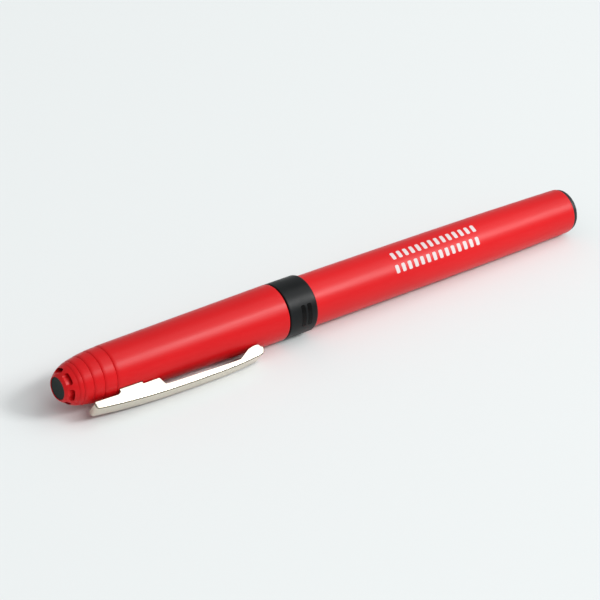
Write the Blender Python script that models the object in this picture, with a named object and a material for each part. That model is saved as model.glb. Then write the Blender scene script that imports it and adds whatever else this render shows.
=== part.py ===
"""A capped rollerball pen lying on its side, as an assembly of its separate pieces.

The pen's axis is the X axis. X = 0 is the flat face of the disc in the cap's crown, the crown points
to -X and the barrel's end to +X. The pen is rolled so that its clip points to -Y and below the horizontal,
as it does when the pen lies on a table. Sizes are in millimetres here and become metres in the meshes.
A turned piece is drawn as (station, radius) points: the station is the distance along X from the disc's face.
"""

import math

import bmesh
import bpy
from mathutils import Matrix

MM = 0.001

# Outside of the closed pen
CAP_LIP = 54.5
CAP_LIP_RADIUS = 6.22
COLLAR_END = 62.0
COLLAR_RADIUS = 6.2
BARREL_END = 136.5
BARREL_FRONT_RADIUS = 5.66
BARREL_END_RADIUS = 5.05
PLUG_DOME = 1.8

# Crown of the cap: a rim round the disc, a dome, and rings between four grooves
RIM_HEIGHT = 0.12
RIM_WIDTH = 0.14
DISC_RADIUS = 2.4
DISC_SEAT = 0.95
STEM_RADIUS = 1.59
CROWN_WALL = 2.3
DOME_BOW = 0.25
GROOVES = ((3.5, 4.62, 4.72), (5.6, 5.03, 5.12), (8.0, 5.38, 5.43), (10.9, 5.56, 5.62))  # station, radii
GROOVE_HALF_WIDTH = 0.15
GROOVE_DEPTH = 0.16
VENTS = 6
VENT_RADII = (3.1, 3.85)
VENT_HALF_ANGLE = math.radians(22)
VENT_REACH = 3.4

# Clip: a channel of sheet metal whose lugs pass through the cap's wall
CLIP_ROLL = math.radians(31.5)  # how far below the horizontal the clip points
CLIP_ROOT, CLIP_ROOT_WIDTH = 4.75, 3.9
CLIP_TIP, CLIP_TIP_WIDTH = 47.0, 4.2
CLIP_CREST, CLIP_CREST_HEIGHT = 33.0, 9.08
CLIP_SHEET = 0.5
CLIP_BEVEL = 0.2
ROOT_BEND, ROOT_BEND_RADIUS = (5.4, 6.9), 0.65
TIP_BEND, TIP_BEND_RADIUS = (45.7, 7.2), 1.3
LUG_START, LUG_END = 11.6, 16.8
LUG_DEPTH = 3.85  # height over the pen's axis of the lugs' inner ends
SLOT_ROOM = 0.25
CLIP_FULCRUM = (11.2, 5.5)  # station and height over the pen's axis of the edge on which the clip rocks

# Inside of the pen
BARREL_BORE = 4.62
PLUG_BORE = 4.36
SECTION_FRONT = 24.3
SECTION_CORE = 3.85
SECTION_BORE = 2.6
SECTION_END = 71.2
SPIGOT_RADIUS = 4.9
SLEEVE_FRONT = 27.7
CONE_FRONT, CONE_END = 12.4, 34.0
HOLDER_END = 18.7
HOLDER_BORE = 1.0
POINT_END = 16.2
POINT_BORE = 0.6
WICK_RADIUS = 0.53
WICK_START, WICK_END = 9.1, 69.6
BALL_STATION, BALL_RADIUS = 7.25, 0.35
LINER_FLOOR = 4.9
RESERVOIR_START, RESERVOIR_END = 64.0, 126.0
RESERVOIR_RADIUS = 3.4
FILM = 0.15
GRIP_RIBS, GRIP_FIRST, GRIP_PITCH = 9, 31.0, 2.1

GAP = 0.06  # between pieces that are pressed or seated together

OUTER_SIDES = 40
INNER_SIDES = 28
FINE_SIDES = 20


def material(name, colour, roughness, metallic=0.0):
    made = bpy.data.materials.new(name)
    made.use_nodes = True
    shader = made.node_tree.nodes["Principled BSDF"]
    shader.inputs["Base Color"].default_value = (*colour, 1.0)
    shader.inputs["Roughness"].default_value = roughness
    shader.inputs["Metallic"].default_value = metallic
    made.diffuse_color = (*colour, 1.0)
    return made


def finish(name, bm, look, parent, origin=(0.0, 0.0, 0.0)):
    """Makes the object from a mesh in metres, with its own origin at a point on its joint's axis."""
    bmesh.ops.translate(bm, verts=bm.verts, vec=[-c for c in origin])
    mesh = bpy.data.meshes.new(name)
    bm.to_mesh(mesh)
    bm.free()
    mesh.materials.append(look)
    mesh.shade_smooth()
    mesh.set_sharp_from_angle(angle=math.radians(35))
    made = bpy.data.objects.new(name, mesh)
    made.location = origin
    bpy.context.scene.collection.objects.link(made)
    if parent:
        made.parent = parent
    return made


def turned(name, outline, look, parent, sides=OUTER_SIDES):
    """A solid of revolution about X. Its outline is closed, or open where both ends are on the axis."""
    bm = bmesh.new()
    points = [bm.verts.new((x * MM, r * MM, 0.0)) for x, r in outline]
    edges = [bm.edges.new(pair) for pair in zip(points, points[1:])]
    if outline[0][1] > 0 or outline[-1][1] > 0:
        edges.append(bm.edges.new((points[-1], points[0])))
    turn = 2 * math.pi
    bmesh.ops.spin(bm, geom=points + edges, axis=(1, 0, 0), angle=turn, steps=sides, use_merge=True)
    bmesh.ops.remove_doubles(bm, verts=bm.verts, dist=1e-7)
    bmesh.ops.recalc_face_normals(bm, faces=bm.faces)
    return finish(name, bm, look, parent)


def cut(target, cutter):
    cutter.hide_render = True
    cutter.display_type = "WIRE"
    change = target.modifiers.new("cut_" + cutter.name, "BOOLEAN")
    change.operation = "DIFFERENCE"
    change.solver = "EXACT"
    change.object = cutter


def bow(start, end, rise, steps):
    """Points of a shallow curve from start up to, but without, end. It stands off its chord by rise."""
    along = (end[0] - start[0], end[1] - start[1])
    length = math.hypot(*along)
    points = []
    for i in range(steps):
        share = i / steps
        lift = 4 * rise * share * (1 - share) / length
        x = start[0] + along[0] * share - along[1] * lift
        points.append((x, start[1] + along[1] * share + along[0] * lift))
    return points


def cap_radius(station):
    """The cap's outside radius behind its last groove, where it flares evenly to the lip."""
    waist, _, waist_radius = GROOVES[-1]
    share = (station - waist) / (CAP_LIP - waist)
    return waist_radius + (CAP_LIP_RADIUS - waist_radius) * share


def crown_outline():
    rim_edge = (-RIM_HEIGHT, DISC_RADIUS + GAP + RIM_WIDTH)
    first, first_radius, _ = GROOVES[0]
    points = bow(rim_edge, (first - GROOVE_HALF_WIDTH, first_radius), DOME_BOW, 6)
    for station, before, after in GROOVES:
        points.append((station - GROOVE_HALF_WIDTH, before))
        points.append((station, before - GROOVE_DEPTH))
        points.append((station + GROOVE_HALF_WIDTH, after))
    return points


def make_cap_shell(look, parent):
    lip_wall = 0.87
    lip_round = 0.2
    stem_hole = STEM_RADIUS + GAP
    shell = turned(
        "cap_shell",
        crown_outline()
        + [
            (33.0, cap_radius(33.0)),
            (CAP_LIP - lip_round, cap_radius(CAP_LIP - lip_round)),
            (CAP_LIP, CAP_LIP_RADIUS - lip_round),
            (CAP_LIP, CAP_LIP_RADIUS - lip_wall),
            (27.6, 5.02),
            (26.6, 4.45),
            (CROWN_WALL + 1, 4.15),
            (CROWN_WALL, 3.5),
            (CROWN_WALL, stem_hole),
            (DISC_SEAT, stem_hole),
            (DISC_SEAT, DISC_RADIUS + GAP),
            (-RIM_HEIGHT, DISC_RADIUS + GAP),
        ],
        look,
        parent,
    )
    cut(shell, vent_cutter(look))
    cut(shell, clip_slot_cutter(look))
    return shell


def vent_cutter(look):
    """Curved slots that run along the pen's axis through the crown's shoulder, even about the clip."""
    bm = bmesh.new()
    steps = 5
    inner, outer = VENT_RADII
    middle_radius = (inner + outer) / 2
    end_bulge = math.asin((outer - inner) / 2 / middle_radius)
    away = math.pi + CLIP_ROLL
    for vent in range(VENTS):
        middle = away + 2 * math.pi * (vent + 0.5) / VENTS
        reach = VENT_HALF_ANGLE - end_bulge
        angles = [middle + reach * (2 * i / steps - 1) for i in range(steps + 1)]
        ring = [(outer, a) for a in angles]
        ring += [(middle_radius, angles[-1] + end_bulge)]
        ring += [(inner, a) for a in reversed(angles)]
        ring += [(middle_radius, angles[0] - end_bulge)]
        front = [bm.verts.new((-MM, r * MM * math.cos(a), r * MM * math.sin(a))) for r, a in ring]
        pushed = bmesh.ops.extrude_face_region(bm, geom=[bm.faces.new(front)])
        moved = [v for v in pushed["geom"] if isinstance(v, bmesh.types.BMVert)]
        bmesh.ops.translate(bm, verts=moved, vec=((VENT_REACH + 1) * MM, 0, 0))
    bmesh.ops.recalc_face_normals(bm, faces=bm.faces)
    return finish("vent_cutter", bm, look, None)


def clip_matrix():
    """Turns the clip's own axes (along the pen, across the clip, away from the pen) to where they point."""
    away = (0.0, -math.cos(CLIP_ROLL), -math.sin(CLIP_ROLL))
    across = (0.0, -math.sin(CLIP_ROLL), math.cos(CLIP_ROLL))
    return Matrix(((1, across[0], away[0]), (0, across[1], away[1]), (0, across[2], away[2]))).to_4x4()


def clip_half_width(station):
    share = (station - CLIP_ROOT) / (CLIP_TIP - CLIP_ROOT)
    return (CLIP_ROOT_WIDTH + (CLIP_TIP_WIDTH - CLIP_ROOT_WIDTH) * share) / 2


def clip_height(station):
    """Height over the pen's axis of the clip's outer face, which bows gently away from the cap."""
    if station < CLIP_CREST:
        fall, reach = 1.58, CLIP_CREST - CLIP_ROOT
    else:
        fall, reach = 0.6, TIP_BEND[0] - CLIP_CREST
    return CLIP_CREST_HEIGHT - fall * (abs(station - CLIP_CREST) / reach) ** 2.5


def clip_slot_cutter(look):
    """Two narrow slots through the cap's wall for the lugs of the clip."""
    bm = bmesh.new()
    inside = clip_half_width(LUG_START) - CLIP_SHEET - SLOT_ROOM
    outside = clip_half_width(LUG_END) + SLOT_ROOM
    ends = (LUG_START - SLOT_ROOM, LUG_END + SLOT_ROOM)
    heights = (3.0, 7.0)
    for side in (-1, 1):
        low = (ends[0], min(side * inside, side * outside), heights[0])
        high = (ends[1], max(side * inside, side * outside), heights[1])
        box = bmesh.ops.create_cube(bm, size=1.0)["verts"]
        bmesh.ops.scale(bm, verts=box, vec=[(b - a) * MM for a, b in zip(low, high)])
        bmesh.ops.translate(bm, verts=box, vec=[(a + b) / 2 * MM for a, b in zip(low, high)])
    bmesh.ops.transform(bm, matrix=clip_matrix(), verts=bm.verts)
    return finish("clip_slot_cutter", bm, look, None)


# Pairs along the clip: a station on its outer face, and the (station, height) of the side wall's free edge.
# The walls clear the crown, drop into the cap as lugs, rise, and end in a nose that presses on the pocket.
CLIP_PAIRS = (
    (5.7, (5.9, 5.96)), (7.6, (7.8, 6.0)), (10.3, (10.7, 6.1)), (11.0, (11.5, 5.7)),
    (11.3, (LUG_START, LUG_DEPTH)), (14.1, (14.2, LUG_DEPTH)), (16.9, (LUG_END, LUG_DEPTH)),
    (17.2, (17.0, 5.66)), (20.8, (21.0, 5.68)), (21.5, (21.7, 7.3)), (22.6, (22.6, 7.42)),
    (26.5, (26.5, 7.54)), (30.3, (30.3, 7.62)), (34.0, (34.0, 7.75)), (37.5, (37.5, 7.84)),
    (40.3, (40.6, 7.86)), (41.5, (41.9, 7.15)), (43.0, (43.3, 6.4)), (44.3, (44.4, 6.15)),
)
ROOT_EDGE = ((5.2, 5.94), (5.25, 5.94), (5.35, 5.94), (5.45, 5.94))
ROOT_ARC = (180, 155, 130, 105)  # degrees round the bend that closes the root
TIP_EDGE = ((45.1, 6.08), (45.6, 6.08), (46.0, 6.16), (46.2, 6.45), (46.25, 6.86))
TIP_ARC = (80, 56, 32, 8, -15)  # degrees round the bend of the tip


def clip_outline():
    """The clip's outer face and the free edge of its walls, as two lists of as many points."""
    backs, edges = [(CLIP_ROOT, 6.3)], [(CLIP_ROOT + 0.45, 5.94)]

    def follow_bend(centre, radius, arc, arc_edges):
        for angle, edge in zip(arc, arc_edges):
            turn = math.radians(angle)
            backs.append((centre[0] + radius * math.cos(turn), centre[1] + radius * math.sin(turn)))
            edges.append(edge)

    follow_bend(ROOT_BEND, ROOT_BEND_RADIUS, ROOT_ARC, ROOT_EDGE)
    for station, edge in CLIP_PAIRS:
        backs.append((station, clip_height(station)))
        edges.append(edge)
    follow_bend(TIP_BEND, TIP_BEND_RADIUS, TIP_ARC, TIP_EDGE)
    return backs, edges


def clip_section(back, edge, inward):
    """One section across the channel: a flat back, two bevels and two walls, as (station, across, height)."""
    outer = [edge]
    outer.append((back[0] + inward[0] * CLIP_BEVEL, back[1] + inward[1] * CLIP_BEVEL))
    inner = (back[0] + inward[0] * CLIP_SHEET, back[1] + inward[1] * CLIP_SHEET)
    half = [(x, clip_half_width(x), h) for x, h in outer]
    half.append((back[0], clip_half_width(back[0]) - CLIP_BEVEL, back[1]))
    inside = [(x, clip_half_width(x) - CLIP_SHEET, h) for x, h in (inner, edge)]
    left = [(x, -w, h) for x, w, h in half]
    return left + half[::-1] + inside[::-1] + [(x, -w, h) for x, w, h in inside]


def clip_sections():
    backs, edges = clip_outline()
    sections = []
    last = len(backs) - 1
    for i, (back, edge) in enumerate(zip(backs, edges)):
        if i in (0, last):
            inward = (edge[0] - back[0], edge[1] - back[1])
        else:
            before, after = backs[i - 1], backs[i + 1]
            inward = (after[1] - before[1], before[0] - after[0])
        length = math.hypot(*inward)
        sections.append(clip_section(back, edge, (inward[0] / length, inward[1] / length)))
    return sections


def make_clip(look, parent):
    """A channel of sheet metal: an outer face that wraps round the tip, and two side walls."""
    bm = bmesh.new()
    rings = [[bm.verts.new([c * MM for c in point]) for point in section] for section in clip_sections()]
    for one, other in zip(rings, rings[1:]):
        for i in range(len(one)):
            bm.faces.new((one[i - 1], one[i], other[i], other[i - 1]))
    bm.faces.new(rings[0])
    bm.faces.new(rings[-1][::-1])
    bmesh.ops.transform(bm, matrix=clip_matrix(), verts=bm.verts)
    bmesh.ops.recalc_face_normals(bm, faces=bm.faces)
    station, height = CLIP_FULCRUM
    fulcrum = clip_matrix() @ Matrix.Translation((station * MM, 0, height * MM))
    return finish("clip", bm, look, parent, fulcrum.translation)


def make_crown_plug(look, parent):
    edge_round = 0.12
    back = DISC_SEAT - GAP
    stem_end = CROWN_WALL + 0.4
    outline = [
        (0.0, 0.0), (0.0, DISC_RADIUS - edge_round), (edge_round, DISC_RADIUS), (back, DISC_RADIUS),
        (back, STEM_RADIUS), (stem_end - 0.2, STEM_RADIUS), (stem_end, STEM_RADIUS - 0.2), (stem_end, 0.0),
    ]
    return turned("crown_plug", outline, look, parent, INNER_SIDES)


def make_inner_cap(look, parent):
    """The soft liner that closes over the writing point and seals on the nose cone."""
    outline = [
        (3.5, 0.0), (3.5, 2.9), (3.9, 3.2), (14.0, 3.25), (20.5, 3.75), (21.6, 3.8), (21.6, 4.28),
        (23.9, 4.3), (23.9, 3.45), (23.4, 3.28), (21.9, 3.28), (14.5, 2.5), (LINER_FLOOR, 2.4),
        (LINER_FLOOR, 0.0),
    ]
    return turned("inner_cap", outline, look, parent, INNER_SIDES)


def make_point_seal(look, parent):
    """A soft pad at the bottom of the inner cap, which the writing point rests near."""
    front = LINER_FLOOR + GAP
    outline = [(front, 0.0), (front, 2.2), (6.2, 2.1), (6.2, 0.9), (5.9, 0.6), (5.9, 0.0)]
    return turned("point_seal", outline, look, parent, INNER_SIDES)


def make_barrel(look, parent):
    front = COLLAR_END + GAP
    outline = [
        (front, BARREL_FRONT_RADIUS - 0.25),
        (front + 0.24, BARREL_FRONT_RADIUS),
        (80.0, 5.62),
        (97.0, 5.56),
        (115.0, 5.42),
        (128.0, 5.22),
        (BARREL_END - 0.45, BARREL_END_RADIUS + 0.02),
        (BARREL_END - 0.12, BARREL_END_RADIUS - 0.06),
        (BARREL_END, BARREL_END_RADIUS - 0.18),
        (BARREL_END, PLUG_BORE - GAP),
        (126.5, PLUG_BORE),
        (front, BARREL_BORE),
    ]
    return turned("barrel", outline, look, parent)


def make_end_plug(look, parent):
    """The black plug in the barrel's end: a shallow dome, and a cup inside that holds the reservoir."""
    spigot = PLUG_BORE - 2 * GAP
    seat = BARREL_END + GAP
    dome = [(1.0, 0.0), (0.98, 1.6), (0.9, 2.9), (0.76, 3.9), (0.57, 4.55), (0.34, 4.84), (0.0, 4.86)]
    outline = [(seat + share * PLUG_DOME, radius) for share, radius in dome]
    outline += [
        (seat, spigot), (129.0, spigot), (128.4, spigot - 0.4), (128.4, 3.2), (135.2, 3.1), (135.2, 0.0),
    ]
    return turned("end_plug", outline, look, parent)


def make_section(look, parent):
    """The stiff core of the grip: front ring, core, collar and the spigot that is pressed into the barrel."""
    spigot = BARREL_BORE - GAP
    collar_start, collar_end = 55.7, COLLAR_END - 0.1
    rear_bore = SECTION_CORE - 0.13
    outline = [
        (SECTION_FRONT, 3.9), (SECTION_FRONT + 0.3, 4.15), (SLEEVE_FRONT - 0.1, 4.25),
        (SLEEVE_FRONT - 0.1, SECTION_CORE), (collar_start, SECTION_CORE), (collar_start, SPIGOT_RADIUS),
        (collar_end, SPIGOT_RADIUS), (collar_end, spigot), (SECTION_END - 0.6, spigot - 0.05),
        (SECTION_END, 4.2), (SECTION_END, rear_bore), (57.0, rear_bore), (57.0, SECTION_BORE),
        (SECTION_FRONT, SECTION_BORE),
    ]
    return turned("section", outline, look, parent)


def make_grip_sleeve(look, parent):
    """The rubber sleeve: ribbed where the fingers hold it, with the wide plain collar that the cap meets."""
    bore = SECTION_CORE + 0.1
    rib_half, rib_depth, rib_growth = 0.5, 0.28, 0.025
    outline = [(SLEEVE_FRONT, bore), (SLEEVE_FRONT, 4.45), (SLEEVE_FRONT + 0.6, 4.62)]
    for rib in range(GRIP_RIBS):
        x = GRIP_FIRST + GRIP_PITCH * rib
        top = 4.66 + rib_growth * rib
        outline += [(x - rib_half, top), (x, top - rib_depth), (x + rib_half, top)]
    step = CAP_LIP + 0.25
    outline += [
        (53.6, 4.95), (54.4, 5.1), (step, 5.2), (step, COLLAR_RADIUS - 0.15),
        (step + 0.2, COLLAR_RADIUS), (COLLAR_END - 0.2, COLLAR_RADIUS), (COLLAR_END, COLLAR_RADIUS - 0.2),
        (COLLAR_END, SPIGOT_RADIUS + GAP), (55.6, SPIGOT_RADIUS + GAP), (55.6, bore),
    ]
    return turned("grip_sleeve", outline, look, parent)


def make_nose_cone(look, parent):
    tail = SECTION_BORE - 0.1
    feed_hole = WICK_RADIUS + 0.22
    holder_seat = HOLDER_END + 0.1
    outline = [
        (CONE_FRONT, 1.75), (CONE_FRONT + 0.5, 1.98), (21.6, 3.05), (22.3, 3.2),
        (SECTION_FRONT - 0.1, 3.2), (SECTION_FRONT - 0.1, tail + 0.02), (CONE_END - 0.5, tail),
        (CONE_END, tail - 0.3), (CONE_END, feed_hole), (holder_seat, feed_hole), (holder_seat, 1.62),
        (CONE_FRONT, 1.62),
    ]
    return turned("nose_cone", outline, look, parent, INNER_SIDES)


def make_tip_holder(look, parent):
    outline = [
        (11.6, 1.2), (11.9, 1.4), (CONE_FRONT - 0.1, 1.56), (HOLDER_END, 1.56), (HOLDER_END, 0.62),
        (16.4, 0.62), (16.4, HOLDER_BORE), (11.6, HOLDER_BORE),
    ]
    return turned("tip_holder", outline, look, parent, INNER_SIDES)


def make_point(look, parent):
    """The metal point: a crimped lip and socket for the ball, a slim cone, and a tail in its holder."""
    socket = BALL_RADIUS + 0.03
    feed_hole = 0.2
    tail = HOLDER_BORE - GAP
    outline = [
        (7.1, 0.335), (7.1, 0.39), (7.35, 0.47), (8.6, 0.58), (8.75, 0.8), (10.9, 1.12), (11.5, 1.12),
        (11.5, tail), (POINT_END, tail), (POINT_END, POINT_BORE), (8.9, POINT_BORE), (8.6, feed_hole),
        (7.75, feed_hole), (7.6, socket), (BALL_STATION, socket),
    ]
    return turned("point", outline, look, parent, FINE_SIDES)


def make_ball(look, parent):
    bm = bmesh.new()
    bmesh.ops.create_uvsphere(bm, u_segments=FINE_SIDES, v_segments=10, radius=BALL_RADIUS * MM)
    bmesh.ops.rotate(bm, verts=bm.verts, matrix=Matrix.Rotation(math.pi / 2, 3, "Y"))
    place = (BALL_STATION * MM, 0.0, 0.0)
    bmesh.ops.translate(bm, verts=bm.verts, vec=place)
    return finish("ball", bm, look, parent, place)


def make_feed_wick(look, parent):
    taper = 0.2
    outline = [
        (WICK_START, 0.0), (WICK_START, WICK_RADIUS - 0.08), (WICK_START + taper, WICK_RADIUS),
        (WICK_END, WICK_RADIUS), (WICK_END, 0.0),
    ]
    return turned("feed_wick", outline, look, parent, FINE_SIDES)


def make_reservoir_fibre(look, parent):
    """The ink-soaked fibre rod, with a blind hole in its front end for the wick."""
    edge = 0.4
    hole_end = WICK_END + 0.1
    hole = WICK_RADIUS + 0.07
    outline = [
        (RESERVOIR_END, 0.0), (RESERVOIR_END, RESERVOIR_RADIUS - edge),
        (RESERVOIR_END - edge, RESERVOIR_RADIUS), (RESERVOIR_START + edge, RESERVOIR_RADIUS),
        (RESERVOIR_START, RESERVOIR_RADIUS - edge), (RESERVOIR_START, hole), (hole_end, hole),
        (hole_end, 0.0),
    ]
    return turned("reservoir_fibre", outline, look, parent, INNER_SIDES)


def make_reservoir_sleeve(look, parent):
    """The thin film round the fibre rod."""
    overhang = 0.2
    inside = RESERVOIR_RADIUS + GAP
    start, end = RESERVOIR_START - overhang, RESERVOIR_END + overhang
    outline = [(start, inside + FILM), (end, inside + FILM), (end, inside), (start, inside)]
    return turned("reservoir_sleeve", outline, look, parent, INNER_SIDES)


LOOKS = (  # name, colour, roughness, metallic
    ("cap_red", (0.72, 0.012, 0.018), 0.38, 0.0),
    ("barrel_red", (0.74, 0.012, 0.018), 0.38, 0.0),
    ("plug_black", (0.02, 0.025, 0.025), 0.4, 0.0),
    ("end_black", (0.03, 0.035, 0.038), 0.45, 0.0),
    ("section_black", (0.02, 0.02, 0.022), 0.35, 0.0),
    ("grip_rubber", (0.03, 0.034, 0.036), 0.6, 0.0),
    ("cone_black", (0.025, 0.025, 0.027), 0.35, 0.0),
    ("holder_black", (0.03, 0.03, 0.032), 0.4, 0.0),
    ("liner_white", (0.75, 0.76, 0.74), 0.45, 0.0),
    ("seal_grey", (0.25, 0.26, 0.27), 0.7, 0.0),
    ("clip_nickel", (0.78, 0.76, 0.7), 0.22, 1.0),
    ("point_nickel", (0.7, 0.68, 0.62), 0.2, 1.0),
    ("ball_carbide", (0.5, 0.5, 0.5), 0.1, 1.0),
    ("wick_fibre", (0.8, 0.8, 0.76), 0.9, 0.0),
    ("reservoir_ink", (0.1, 0.12, 0.16), 0.9, 0.0),
    ("film_clear", (0.85, 0.87, 0.88), 0.2, 0.0),
)


def axis_empty(name, parent=None):
    """An empty on the pen's axis, about which the pieces under it turn and along which they slide."""
    made = bpy.data.objects.new(name, None)
    made.empty_display_size = 10 * MM
    made.parent = parent
    bpy.context.scene.collection.objects.link(made)
    return made


def build():
    for old in list(bpy.data.objects):
        bpy.data.objects.remove(old, do_unlink=True)
    look = {name: material(name, colour, rough, metallic) for name, colour, rough, metallic in LOOKS}
    pen = axis_empty("pen")
    cap_axis = axis_empty("cap_axis", pen)

    make_barrel(look["barrel_red"], pen)
    make_end_plug(look["end_black"], pen)
    make_section(look["section_black"], pen)
    make_grip_sleeve(look["grip_rubber"], pen)
    make_nose_cone(look["cone_black"], pen)
    make_tip_holder(look["holder_black"], pen)
    make_point(look["point_nickel"], pen)
    make_ball(look["ball_carbide"], pen)
    make_feed_wick(look["wick_fibre"], pen)
    make_reservoir_fibre(look["reservoir_ink"], pen)
    make_reservoir_sleeve(look["film_clear"], pen)

    make_cap_shell(look["cap_red"], cap_axis)
    make_crown_plug(look["plug_black"], cap_axis)
    make_inner_cap(look["liner_white"], cap_axis)
    make_point_seal(look["seal_grey"], cap_axis)
    make_clip(look["clip_nickel"], cap_axis)


build()
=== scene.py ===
"""Looks of the capped rollerball pen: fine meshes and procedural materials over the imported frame.

Lengths are in millimetres until a mesh is made, and the pen's axis is X. A turned piece is drawn
as (station, radius, rounding) corners. A station is a distance along X from the face of the
crown's disc.
"""

import math

import bmesh
import bpy
import numpy as np
from mathutils import Matrix, Quaternion, Vector


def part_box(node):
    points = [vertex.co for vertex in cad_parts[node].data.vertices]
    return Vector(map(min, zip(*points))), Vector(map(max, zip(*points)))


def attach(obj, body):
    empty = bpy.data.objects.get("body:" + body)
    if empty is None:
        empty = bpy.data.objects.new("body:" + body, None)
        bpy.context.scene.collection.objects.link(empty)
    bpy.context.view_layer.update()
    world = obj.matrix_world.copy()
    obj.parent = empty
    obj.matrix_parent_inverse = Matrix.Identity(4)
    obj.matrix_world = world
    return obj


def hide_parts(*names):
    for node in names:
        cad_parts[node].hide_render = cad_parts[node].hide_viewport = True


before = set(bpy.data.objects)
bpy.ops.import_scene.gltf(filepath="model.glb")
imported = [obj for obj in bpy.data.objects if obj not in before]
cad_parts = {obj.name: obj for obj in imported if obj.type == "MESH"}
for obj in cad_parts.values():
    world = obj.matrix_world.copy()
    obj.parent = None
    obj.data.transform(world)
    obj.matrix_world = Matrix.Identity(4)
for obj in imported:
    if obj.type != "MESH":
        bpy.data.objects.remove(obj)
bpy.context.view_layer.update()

MM = 0.001
TURN = 2 * math.pi


def stations(node):
    """First and last station of a CAD node."""
    low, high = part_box(node)
    return low.x / MM, high.x / MM


def outer_radius(node):
    """Largest radius of a CAD node that is round the axis."""
    low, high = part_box(node)
    return max(high.y, high.z) / MM


# ---------------------------------------------------------------- places taken from the frame

CROWN_FRONT, CAP_LIP = stations("cap_shell")
LIP_RADIUS = outer_radius("cap_shell")
DISC_FACE, DISC_STEM_END = stations("crown_plug")
DISC_RADIUS = outer_radius("crown_plug")
LINER_START, LINER_END = stations("inner_cap")
BARREL_START, BARREL_END = stations("barrel")
BARREL_RADIUS = outer_radius("barrel")
PLUG_END = stations("end_plug")[1]
SECTION_START, SECTION_END = stations("section")
SLEEVE_START, COLLAR_END = stations("grip_sleeve")
COLLAR_RADIUS = outer_radius("grip_sleeve")
CONE_START, CONE_END = stations("nose_cone")
HOLDER_START, HOLDER_END = stations("tip_holder")
POINT_START, POINT_END = stations("point")
BALL_START, BALL_END = stations("ball")
CLIP_START, CLIP_END = stations("clip")

CLIP_ROLL = math.radians(31.5)
CROWN_WALL = 2.3
GAP = 0.06

SIDES = 180
FINE_SIDES, SMALL_SIDES, BALL_SIDES = 128, 96, 64
TINY = 1e-6
SHARP_ANGLE = 38
FLAT_SHARP_ANGLE = 30  # for pieces made of flat strips


# ---------------------------------------------------------------- mesh helpers


def mesh_piece(name, verts, faces, sharp=SHARP_ANGLE):
    """An object from points in millimetres, with consistent outward faces and smooth shading."""
    mesh = bpy.data.meshes.new(name)
    mesh.from_pydata([Vector(v) * MM for v in verts], [], faces)
    bm = bmesh.new()
    bm.from_mesh(mesh)
    bmesh.ops.recalc_face_normals(bm, faces=bm.faces)
    bm.to_mesh(mesh)
    bm.free()
    mesh.shade_smooth()
    mesh.set_sharp_from_angle(angle=math.radians(sharp))
    piece = bpy.data.objects.new(name, mesh)
    bpy.context.scene.collection.objects.link(piece)
    return piece


def place(piece, look, body, slot, *nodes):
    """Gives a piece its materials and body, and lets it stand for its CAD nodes. Its slot is not
    used.
    """
    for one in look if isinstance(look, tuple) else (look,):
        piece.data.materials.append(one)
    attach(piece, body)
    if nodes:
        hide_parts(*nodes)
    return piece


def rounded(corners, closed=True, steps=5, support=0.07):
    """The outline of (station, radius, rounding) corners: arcs, each with a support row beside it.

    An open outline keeps its two end corners as they are.
    """
    count = len(corners)
    most = 0.46  # of the way to the next corner
    outline = []
    for i, (x, r, rounding) in enumerate(corners):
        if rounding <= 0 or (not closed and i in (0, count - 1)):
            outline.append((x, r))
            continue
        here = Vector((x, r))
        before = Vector(corners[i - 1][:2]) - here
        after = Vector(corners[(i + 1) % count][:2]) - here
        reach = min(rounding, most * before.length, most * after.length)
        start, end = here + before.normalized() * reach, here + after.normalized() * reach
        if before.length > 3 * (reach + support):
            outline.append(tuple(here + before.normalized() * (reach + support)))
        for k in range(steps + 1):
            t = k / steps
            outline.append(tuple(start * (1 - t) ** 2 + here * 2 * t * (1 - t) + end * t * t))
        if after.length > 3 * (reach + support):
            outline.append(tuple(here + after.normalized() * (reach + support)))
    return outline


def bow(start, end, rise, steps):
    """Points of a shallow curve from start up to, but without, end, that stands off its chord."""
    along = Vector(end) - Vector(start)
    points = []
    for i in range(steps):
        share = i / steps
        lift = 4 * rise * share * (1 - share) / along.length
        x = start[0] + along.x * share - along.y * lift
        points.append((x, start[1] + along.y * share + along.x * lift))
    return points


def revolve(name, outline, sides=SIDES, closed=True):
    """A solid of revolution. An open outline runs from axis to axis; a closed one is a section."""
    verts, rows, faces = [], [], []
    for x, r in outline:
        if r < TINY:
            rows.append([len(verts)] * sides)
            verts.append((x, 0.0, 0.0))
            continue
        rows.append(list(range(len(verts), len(verts) + sides)))
        for k in range(sides):
            angle = TURN * k / sides
            verts.append((x, r * math.cos(angle), r * math.sin(angle)))
    pairs = list(zip(rows, rows[1:]))
    if closed:
        pairs.append((rows[-1], rows[0]))
    for one, other in pairs:
        for k in range(sides):
            n = (k + 1) % sides
            corners = [one[k], one[n], other[n], other[k]]
            face = list(dict.fromkeys(corners))
            if len(face) > 2:
                faces.append(face)
    return mesh_piece(name, verts, faces)


# ---------------------------------------------------------------- material helpers


def map_range(tree, value, numbers):
    """Maps a value from one range onto another: from low, from high, to low, to high."""
    node = tree.nodes.new("ShaderNodeMapRange")
    for socket, number in zip(("From Min", "From Max", "To Min", "To Max"), numbers):
        node.inputs[socket].default_value = number
    tree.links.new(value, node.inputs["Value"])
    return node.outputs["Result"]


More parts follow.
